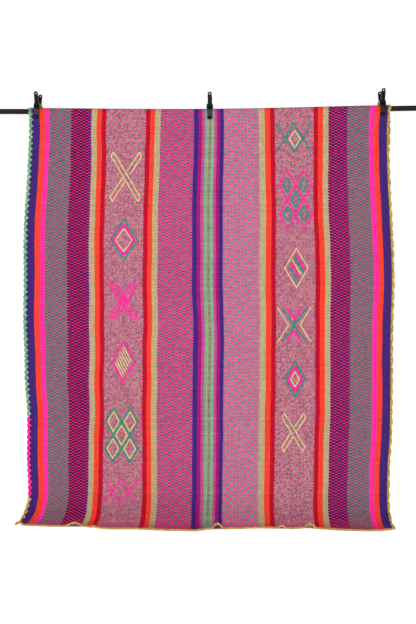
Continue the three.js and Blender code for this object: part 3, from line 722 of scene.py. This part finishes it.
# Places across and lengths down in mm: colour, how many yarns wide, lines
MOTIFS = [
    ("tan", 1, outlined_cross(-347.5, 292, 63, 103)),
    ("teal", 1, diamond(-348.8, 554, 54, 86)),
    ("pink", 1.7, diamond(-348.8, 554, 42, 63)),
    ("tan", 1, diamond(-348.8, 554, 34, 49)),
    ("pink", 1.1, lined_cross(-350.7, 807, 66, 77, 15.5)),
    ("pink", 1.2, diamond(-350.6, 1059, 46, 86)),
    ("tan", 0.9, bars(-350.6, 1059, 37, 70, (0.04, 0.2, 0.36, 0.52, 0.68, 0.84, 0.98))),
    ("teal", 1.1, lattice(-356, 1364, 35, 56)),
    ("tan", 1.1, five(-356, 1364, 35, 56, 24, 41)),
    ("pink", 1.1, double_cross(-356.5, 1596, 70, 53)),
    ("teal", 1.1, double_cross(360, 135, 73, 60)),
    ("tan", 1, diamond(363.5, 140, 23, 36)),
    ("pink", 1.1, lattice(366, 391, 35.5, 60)),
    ("teal", 1.2, five(366, 390, 35.5, 60, 18, 31)),
    ("tan", 1, diamond(365, 672, 48, 81)),
    ("pink", 1.5, bars(365, 672, 44, 74, (0.14, 0.64))),
    ("teal", 1.4, bars(365, 672, 44, 74, (0.3, 0.82))),
    ("tan", 1, bars(365, 672, 44, 74, (0.47,))),
    ("tan", 1, [[(356 + 70 * t, 906 - 72), (356 + 24 * t, 906), (356 + 68 * t, 906 + 70)] for t in SIDES]),
    ("teal", 1.2, [[(356 - 50 * t, 906 - 68), (356 - 3 * t, 906), (356 + 50 * t, 906 + 72)] for t in SIDES]),
    ("pink", 1.3, [[(356 + 31 * t, 906 - 70), (356, 906 - 26)] for t in SIDES]),
    ("pink", 1.3, [[(356 + 31 * t, 906 + 72), (356, 906 + 24)] for t in SIDES]),
    ("teal", 1.2, diamond(358.6, 1130, 41, 74)),
    ("pink", 1.7, diamond(358.6, 1130, 30, 52)),
    ("tan", 1, diamond(358.6, 1130, 18, 32)),
    ("tan", 1, outlined_cross(357, 1349, 48, 79)),
]
FLOAT_COLOURS = {
    "teal": ["#149284", "#269A8A", "#0E847C"],
    "pink": ["#FF1CA6", "#FC1498", "#FF2CAA"],
    "tan": ["#D4C686", "#C8B87C", "#DCD098"],
}
motif_pieces = {"left": [], "right": []}
for half, first, last in (("left", PANEL_LEFT, SEAM), ("right", SEAM, PANEL_RIGHT)):
    for colour, dyes in FLOAT_COLOURS.items():
        places, turns, girths = [], [], []
        for stroke, width, lines in MOTIFS:
            if stroke != colour:
                continue
            for line in lines:
                for start, end in zip(line[:-1], line[1:]):
                    start, end = np.array(start) / 1000, np.array(end) / 1000
                    if not first < start[0] < last:
                        continue
                    count = max(2, round(float(np.linalg.norm(end - start)) / FLOAT_PITCH))
                    share = (np.arange(count) + 0.5)[:, None] / count
                    places.append(start + (end - start) * share)
                    turns.append(np.tile((end - start) / np.linalg.norm(end - start), (count, 1)))
                    girths.append(np.full(count, width))
        places, turns, girths = (np.concatenate(values) for values in (places, turns, girths))
        turns = turns * np.array([FLOAT_STEEPNESS, 1.0])
        half_step = turns / np.linalg.norm(turns, axis=1, keepdims=True) * FLOAT_REACH / 2
        girths = girths * chance.uniform(0.88, 1.12, len(girths))
        starts, _, _, face = lay(*(places - half_step).T, FLOAT_OFF)
        ends = lay(*(places + half_step).T, FLOAT_OFF)[0]
        float_rail = rail("float_rail", starts, ends, face, girths)
        wool = yarn_material(f"{half}_{colour}_float", dyes)
        name = f"{half}_{colour}_motifs"
        floats = worked(name, float_rail, stitch_tree, wool, Thickness=0.0062, Bulge=0.0022, Flatness=0.4)
        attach(floats, "root")
        motif_pieces[half].append(floats)

# Crocheted edgings
# Wool yarn is hooked through the web's edge all the way round. Down the left, fans of stitches reach in over
# the purple stripe in green, pink and gold. The right has low wide shells, and the hems a narrow band.
# Shells in mm: pitch, then how far they reach out at their lowest and highest
LEFT_SHELL, RIGHT_SHELL, HEM_BAND = (24, 4.5, 10), (43, 4.5, 9.5), (36, 9.5, 12)
REAR_BAND, EDGE_GAP, EDGE_REACH = 0.011, 0.0003, 0.0024
PINK_STARTS, GOLD_STARTS = 1.296, 1.633
FAN_REACH, FAN_STRANDS, FAN_SPREAD, FAN_GIRTH = 0.0088, 5, 0.2, 1.5
HEM_CURL, HEM_GIRTH, REAR_GIRTH = math.radians(70), 1.6, 1.8
STITCH_PITCH, LOOSE_PITCH, REAR_PITCH = 0.0026, 0.0034, 0.0052
SHELL_WANDER, WANDER_LENGTH, FINE_STEP = 0.12, 2.7, 0.0005
# Where the stitches lie: off the cloth's middle at the web and at the rim, and how far the rim's chain is in
ON_FACE, FAN_ON_FACE, AT_RIM, FAN_AT_RIM, CHAIN_AT_RIM = 0.0018, 0.0025, 0.0008, 0.0012, 0.0007
CHAIN_IN, CHAIN_GIRTH, STITCH_SHARE, FAN_SHARE = 0.0012, 1.15, 0.9, 0.95
GREENS = ["#569C7C", "#6CAA88", "#A2B88C", "#4C9074", "#80AE8A"]
PINKS = ["#F01C90", "#DC1886", "#FF38A4"]
GOLDS = ["#C8A242", "#B48C3A", "#D8BC68", "#9C7838", "#D0AC50"]


def shell_width(shell, along):
    pitch, valley, peak = shell
    along = along * 1000
    place = along / pitch + SHELL_WANDER * np.sin(along / (WANDER_LENGTH * pitch))
    share = place - np.floor(place)
    unevenness = 1 + 0.1 * np.sin(1.9 * np.floor(place))
    return (valley + (peak - valley) * unevenness * np.sin(np.pi * share) ** 0.8) / 1000


def crocheted(name, parts, wool, slot, *nodes):
    """Strands from lists of (starts, ends, faces, girths), as one piece that stands for its nodes."""
    starts, ends, faces = (np.concatenate([part[i] for part in parts]) for i in range(3))
    girths = np.concatenate([np.full(len(part[0]), part[3]) for part in parts])
    girths = girths * chance.uniform(0.85, 1.15, len(girths))
    base = rail("crochet_rail", starts, ends, faces, girths)
    made = worked(name, base, stitch_tree, wool, Thickness=0.0026, Bulge=0.0008, Flatness=0.8)
    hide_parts(*nodes)
    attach(made, "root")
    return made


def band(place, outer, along, lean=0.0012, girth=1.0):
    """Cross stitches from the web's face out over its edge, and a chain along their ends, on both faces."""
    parts = []
    for side in (1, -1):
        starts, _, _, face = place(along, np.full(len(along), -EDGE_REACH), side * ON_FACE)
        ends = place(along + lean, outer * STITCH_SHARE, side * AT_RIM)[0]
        parts.append((starts, ends, face * side, girth))
        rim = place(along[::2], outer[::2] - CHAIN_IN, side * CHAIN_AT_RIM)[0]
        parts.append((rim[:-1], rim[1:], (face * side)[::2][:-1], CHAIN_GIRTH * girth))
    return parts


def side_crochet(name, edge, outward, shell, start, end, wool, slot, fans, pitch):
    def place(down, out, off):
        return lay(edge + outward * out, down, off)

    along = np.arange(start + pitch / 2, end, pitch)
    outer = shell_width(shell, along - back_hem) + EDGE_GAP
    parts = band(place, outer, along, girth=pitch / STITCH_PITCH)
    if fans:
        fine = np.arange(start, end, FINE_STEP)
        from_back = (fine - back_hem) * 1000
        wandered = SHELL_WANDER * np.sin(from_back / (WANDER_LENGTH * shell[0]))
        shells = np.floor(from_back / shell[0] + wandered + 0.5)
        middles = fine[1:][np.diff(shells) > 0]
        for side in (1, -1):
            apex, _, _, face = place(middles, np.full(len(middles), -FAN_REACH), side * FAN_ON_FACE)
            for k in range(FAN_STRANDS):
                spread = (k - (FAN_STRANDS - 1) / 2) * shell[0] / 1000 * FAN_SPREAD
                rim = shell_width(shell, middles + spread - back_hem) * FAN_SHARE
                ends = place(middles + spread, rim, side * FAN_AT_RIM)[0]
                parts.append((apex, ends, face * side, FAN_GIRTH))
    return crocheted(name.replace("edging", "crochet"), parts, wool, slot, name)


left_hem, right_hem = float(hem_down(np.array(PANEL_LEFT))), float(hem_down(np.array(PANEL_RIGHT)))
edgings = {"left": [], "right": []}
LEFT_EDGINGS = (
    ("green", GREENS, back_hem, PINK_STARTS),
    ("pink", PINKS, PINK_STARTS, GOLD_STARTS),
    ("gold", GOLDS, GOLD_STARTS, left_hem),
)
for colour, dyes, start, end in LEFT_EDGINGS:
    wool = yarn_material(f"{colour}_edging_yarn", dyes)
    left_parts = (PANEL_LEFT, -1, LEFT_SHELL, start, end, wool, f"{colour}_wool", True, STITCH_PITCH)
    edgings["left"].append(side_crochet(f"left_{colour}_edging", *left_parts))
gold_yarn = yarn_material("gold_band_yarn", GOLDS)
right_parts = (PANEL_RIGHT, 1, RIGHT_SHELL, back_hem, right_hem, gold_yarn, "gold_wool", False, LOOSE_PITCH)
edgings["right"].append(side_crochet("right_gold_edging", *right_parts))

hem_from = PANEL_LEFT - EDGE_GAP - LEFT_SHELL[1] / 1000
hem_to = PANEL_RIGHT + EDGE_GAP + RIGHT_SHELL[1] / 1000
hem_places = np.arange(hem_from + LOOSE_PITCH / 2, hem_to, LOOSE_PITCH)
hem_outer = shell_width(HEM_BAND, hem_places - hem_from) + EDGE_GAP


def at_hem(x, out, off):
    """Place on the hem band, which curls up on an arc as it runs out from the web."""
    edge, across, along, face = lay(x, hem_down(x))
    radius = (shell_width(HEM_BAND, x - hem_from) + EDGE_GAP) / HEM_CURL
    angle = (np.maximum(out, 0) / radius)[..., None]
    turned = face * np.cos(angle) - along * np.sin(angle)
    bent = along * np.sin(angle) + face * (1 - np.cos(angle))
    inward = along * np.minimum(out, 0)[..., None]
    place = edge + bent * radius[..., None] + inward + turned * np.asarray(off)[..., None]
    return place, across, along, turned


def at_back_hem(x, out, off):
    return lay(x, back_hem - out, off)


hem_wool = yarn_material("hem_yarn", ["#C89C52", "#B88644", "#D4B068", "#C09050"])
hem_parts = band(at_hem, hem_outer, hem_places, girth=HEM_GIRTH)
edgings["left"].append(crocheted("hem_edging", hem_parts, hem_wool, "gold_wool", "hem_gold_edging"))
rear_places = np.arange(PANEL_LEFT + REAR_PITCH / 2, PANEL_RIGHT, REAR_PITCH)
rear_outer = np.full(len(rear_places), REAR_BAND)
rear_parts = band(at_back_hem, rear_outer, rear_places, girth=REAR_GIRTH)
edgings["right"].append(crocheted("rear_edging", rear_parts, hem_wool, "gold_wool", "rear_gold_edging"))

# The rod
# A black enamelled steel tube, bowed a little by the blanket's weight, with a plastic cap on each end.
CAP_LENGTH = 0.018
ROD_SIDES, ROD_RINGS = 32, 40
BLACK, DULL_BLACK = "#040405", "#0A0A0B"


def tube_faces(rings, sides):
    """Faces between rings of points that go round a tube, and its two ends."""
    faces = []
    for r in range(rings):
        for i in range(sides):
            here, beyond = r * sides, (r + 1) * sides
            after = (i + 1) % sides
            faces.append((here + i, here + after, beyond + after, beyond + i))
    return faces + [tuple(range(sides))[::-1], tuple(rings * sides + i for i in range(sides))]


rod_points = []
for x in np.linspace(-1, 1, ROD_RINGS + 1) * (ROD_HALF - CAP_LENGTH - EDGE_GAP):
    for a in np.arange(ROD_SIDES) * 2 * math.pi / ROD_SIDES:
        height = float(rod_height(x)) + ROD_RADIUS * math.sin(a)
        rod_points.append((x, ROD_Y + ROD_RADIUS * math.cos(a), height))
rod = new_object("rod_tube", rod_points, tube_faces(ROD_RINGS, ROD_SIDES))


def black_material(name, roughness, grain_scale, grain_depth):
    """Black paint or moulded plastic with a faint grain and a few duller patches."""
    s = Shader(name, roughness, Specular_IOR_Level=0.15)
    at = s.node("ShaderNodeTexCoord").outputs["Object"]
    patch = s.between(s.noise(at, 35.0, 3.0), 0.35, 0.7)
    s.plug(s.between(patch, 0.0, 1.0, roughness, roughness + 0.08), s.surface.inputs["Roughness"])
    shade = s.mix(patch, linear(BLACK), linear(DULL_BLACK))
    return s.finish(shade, s.noise(at, grain_scale), grain_depth, 0.35)


enamel = black_material("black_enamel", 0.1, 500.0, 0.00005)
rod.data.materials.append(enamel)
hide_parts("rod")
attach(rod, "root")
plastic = black_material("black_plastic", 0.2, 900.0, 0.0001)
for node in ("rod_cap_left", "rod_cap_right"):
    bpy.data.objects[node].material_slots[0].material = plastic

# The spring clamps
# Each has two moulded black levers that hinge on a steel pin, with a coiled wire spring between them that
# closes the jaws on the cloth and rod. The outer two are turned a little.
CLAMPS = {"left": (-0.711, -7), "centre": (0.008, 0), "right": (0.717, 7)}
PIN_HEIGHT, SPRING_RADIUS, WIRE, COILS, COIL_HALF = 0.0225, 0.0042, 0.0014, 6, 0.0062
COIL_RINGS, WIRE_SIDES = 14, 8
LEVER_ROUNDING = 0.0007
wire = Shader("spring_wire", 0.32, Metallic=0.9)
wire_at = wire.node("ShaderNodeTexCoord").outputs["Object"]
wire_tone = wire.vary(wire_at, 220.0, 3.0, 0.0, 1.0)
wire_colour = wire.mix(wire_tone, linear("#606164"), linear("#8C8D90"))
steel = wire.finish(wire_colour, wire.noise(wire_at, 1400.0), 0.0001, 0.3)


def rounded_copy(name, node):
    """The node's shape with its moulded edges rounded."""
    made = placed(name, bpy.data.objects[node].data.copy())
    weld = made.modifiers.new("weld", "WELD")
    weld.merge_threshold = 0.00001
    bevel = made.modifiers.new("round", "BEVEL")
    bevel.width, bevel.segments = LEVER_ROUNDING, 2
    bevel.limit_method, bevel.angle_limit = "ANGLE", math.radians(35)
    finished = as_made(made)
    made.modifiers.clear()
    made.data = finished
    finished.materials.clear()
    finished.polygons.foreach_set("use_smooth", [False] * len(finished.polygons))
    return made


def coil(name, x, turn):
    """A closed tube of wire wound round the clamp's pin."""
    rings = COILS * COIL_RINGS
    spin = Matrix.Rotation(math.radians(turn), 4, "Z")
    spin = Matrix.Translation((x, ROD_Y, float(rod_height(x)) + PIN_HEIGHT)) @ spin
    points = []
    for r in range(rings + 1):
        t = r / rings
        a = t * COILS * 2 * math.pi
        outward = Vector((0, math.cos(a), math.sin(a)))
        centre = Vector((-COIL_HALF + 2 * COIL_HALF * t, 0, 0)) + outward * SPRING_RADIUS
        for k in range(WIRE_SIDES):
            b = -k * 2 * math.pi / WIRE_SIDES
            points.append(spin @ (centre + (outward * math.cos(b) + Vector((math.sin(b), 0, 0))) * WIRE / 2))
    return new_object(name, points, tube_faces(rings, WIRE_SIDES))


for side, (x, turn) in CLAMPS.items():
    for role in ("front", "back"):
        node = f"clamp_{side}_{role}"
        lever = rounded_copy(f"{node}_lever", node)
        lever.data.materials.append(plastic)
        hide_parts(node)
        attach(lever, "root")
    wound = coil(f"clamp_{side}_coil", x, turn)
    wound.data.materials.append(steel)
    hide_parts(f"clamp_{side}_spring")
    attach(wound, "root")
    bpy.data.objects[f"clamp_{side}_pin"].material_slots[0].material = steel

# The studio
# A plain white floor that glows, and light all round, as for a catalogue picture. The floor's glow stops
# under the cloth's foot, which paints shade there, so that the gaps under the hem's humps stay dark.
FLOOR_HALF, GLOW = 6.0, 0.85
BESIDE_FROM, BESIDE_TO = 0.74, 0.78
BEHIND_FROM, BEHIND_TO = 0.03, 0.09
HEM_FADE, REACH_RANGE = 0.012, 0.2
corners = [(x * FLOOR_HALF, y * FLOOR_HALF, 0) for x, y in ((-1, -1), (1, -1), (1, 1), (-1, 1))]
floor = new_object("floor", corners, [(0, 1, 2, 3)])
paint = Shader("white_floor", 0.9, Specular_IOR_Level=0.0, Emission_Color=(1, 1, 1, 1))
floor_x, floor_y, _ = paint.split(paint.node("ShaderNodeTexCoord").outputs["Object"])
# The floor glows only clear of the cloth's foot: beside it, before its hem line and behind it. Under the foot
# the missing glow is painted shade.
beside = paint.between(paint.math("ABSOLUTE", floor_x), BESIDE_FROM, BESIDE_TO)
hem_left, hem_right = HEM_REACH[0][0], HEM_REACH[-1][0]
along_hem = paint.between(floor_x, hem_left / 1000, hem_right / 1000)
reach = paint.node("ShaderNodeValToRGB", {"Fac": along_hem})
steps = reach.color_ramp.elements
for i, (x, forward) in enumerate(HEM_REACH):
    share = (x - hem_left) / (hem_right - hem_left)
    step = steps.new(share) if 0 < i < len(HEM_REACH) - 1 else steps[0 if i == 0 else -1]
    step.position, step.color = share, (forward / 1000 / REACH_RANGE,) * 3 + (1,)
hem_line = paint.times(paint.split(reach.outputs["Color"])["X"], REACH_RANGE)
before = paint.between(paint.plus(paint.minus(floor_y, ROD_Y), hem_line), HEM_FADE, -HEM_FADE)
behind = paint.between(floor_y, BEHIND_FROM, BEHIND_TO)
clear = paint.math("MAXIMUM", paint.math("MAXIMUM", beside, before), behind)
paint.plug(paint.between(clear, 0.0, 1.0, 0.0, GLOW), paint.surface.inputs["Emission Strength"])
floor.data.materials.append(paint.finish(linear("#C8C8C8")))

world = bpy.data.worlds.new("white_room")
bpy.context.scene.world = world
world.use_nodes = True
backdrop = world.node_tree.nodes["Background"]
backdrop.inputs["Color"].default_value = (1, 1, 1, 1)
seen = world.node_tree.nodes.new("ShaderNodeLightPath").outputs["Is Camera Ray"]
level = world.node_tree.nodes.new("ShaderNodeMapRange")
level.inputs["To Min"].default_value = 0.45
level.inputs["To Max"].default_value = 1.0
world.node_tree.links.new(seen, level.inputs["Value"])
world.node_tree.links.new(level.outputs["Result"], backdrop.inputs["Strength"])


def softbox(name, at, towards, width, height, power):
    lamp = bpy.data.lights.new(name, "AREA")
    lamp.shape, lamp.size, lamp.size_y, lamp.energy = "RECTANGLE", width, height, power
    aim = (Vector(towards) - Vector(at)).to_track_quat("-Z", "Y").to_matrix().to_4x4()
    placed(name, lamp).matrix_world = Matrix.Translation(at) @ aim


softbox("key", (-0.4, -4.2, 2.1), (0, 0, 1.1), 6.0, 3.2, 90)
softbox("strip", (-0.4, -4.2, 2.7), (0, 0, 1.7), 6.0, 0.3, 60)
softbox("back", (0.4, 4.2, 2.1), (0, 0, 1.1), 6.0, 3.2, 70)

CAMERA_TURN, CAMERA_AWAY, CAMERA_HEIGHT = math.radians(2), 3.6, 0.878
camera = placed("camera", bpy.data.cameras.new("camera"))
camera.data.lens, camera.data.sensor_width, camera.data.sensor_fit = 50, 36, "AUTO"
seat = (CAMERA_AWAY * math.sin(CAMERA_TURN), ROD_Y - CAMERA_AWAY * math.cos(CAMERA_TURN), CAMERA_HEIGHT)
turned = Matrix.Rotation(CAMERA_TURN, 4, "Z") @ Matrix.Rotation(math.pi / 2, 4, "X")
camera.matrix_world = Matrix.Translation(seat) @ turned
bpy.context.scene.camera = camera
bpy.context.scene.view_settings.view_transform = "Standard"
bpy.context.scene.view_settings.look = "None"
